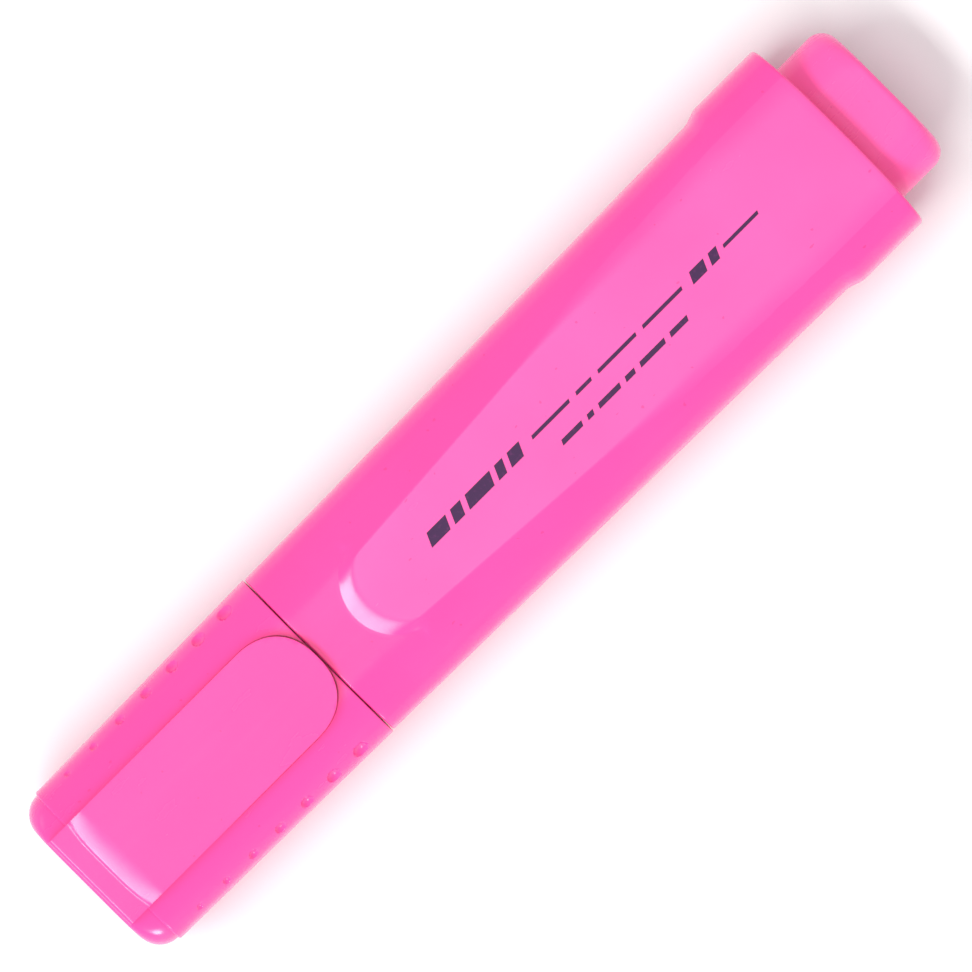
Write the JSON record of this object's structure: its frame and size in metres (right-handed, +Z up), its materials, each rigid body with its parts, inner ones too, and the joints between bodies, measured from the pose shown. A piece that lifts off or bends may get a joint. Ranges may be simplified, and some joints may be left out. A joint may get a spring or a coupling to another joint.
{
  "type": "capped highlighter",
  "caption": "Flat chisel-tip highlighter with a pull-off clip cap, raised label panels, a flared tail and an end plug.",
  "frame": {"origin": "under the middle of the length, on the surface that the highlighter lies on", "axes": "+X along the body from the cap to the tail plug, +Y across the flat body, +Z up through the clip and the label panel"},
  "size_m": [0.12, 0.0256, 0.0167],
  "materials": {
    "cap_plastic": "satin pink polypropylene",
    "inner_cap_plastic": "natural polyethylene",
    "barrel_plastic": "satin pink polypropylene",
    "holder_plastic": "satin pink polypropylene",
    "nib_felt": "felt soaked in pink ink",
    "ink_fibre": "bonded polyester fibre soaked in pink ink",
    "clear_film": "clear polypropylene film",
    "tube_plastic": "white polyethylene",
    "plug_plastic": "satin pink polypropylene",
    "print_ink": "dark plum pad print on the label panel"
  },
  "bodies": {
    "barrel": {"barrel": "barrel_plastic", "nib_holder": "holder_plastic", "nib": "nib_felt", "reservoir_core": "ink_fibre", "reservoir_film": "clear_film", "vent_tube": "tube_plastic", "tail_plug": "plug_plastic"},
    "cap": {"cap_shell": "cap_plastic", "inner_cap": "inner_cap_plastic"},
    "clip": {"cap_clip": "cap_plastic"}
  },
  "joints": [
    {"name": "cap_pull", "type": "slide", "parent": "barrel", "child": "cap", "axis": [-1, 0, 0], "range_m": [0, 0.045]},
    {"name": "clip_flex", "type": "hinge", "parent": "cap", "child": "clip", "pos_m": [-0.058, 0, 0.01476], "axis": [0, -1, 0], "range_deg": [0, 5], "stiffness_Nm_per_rad": 0.03}
  ]
}
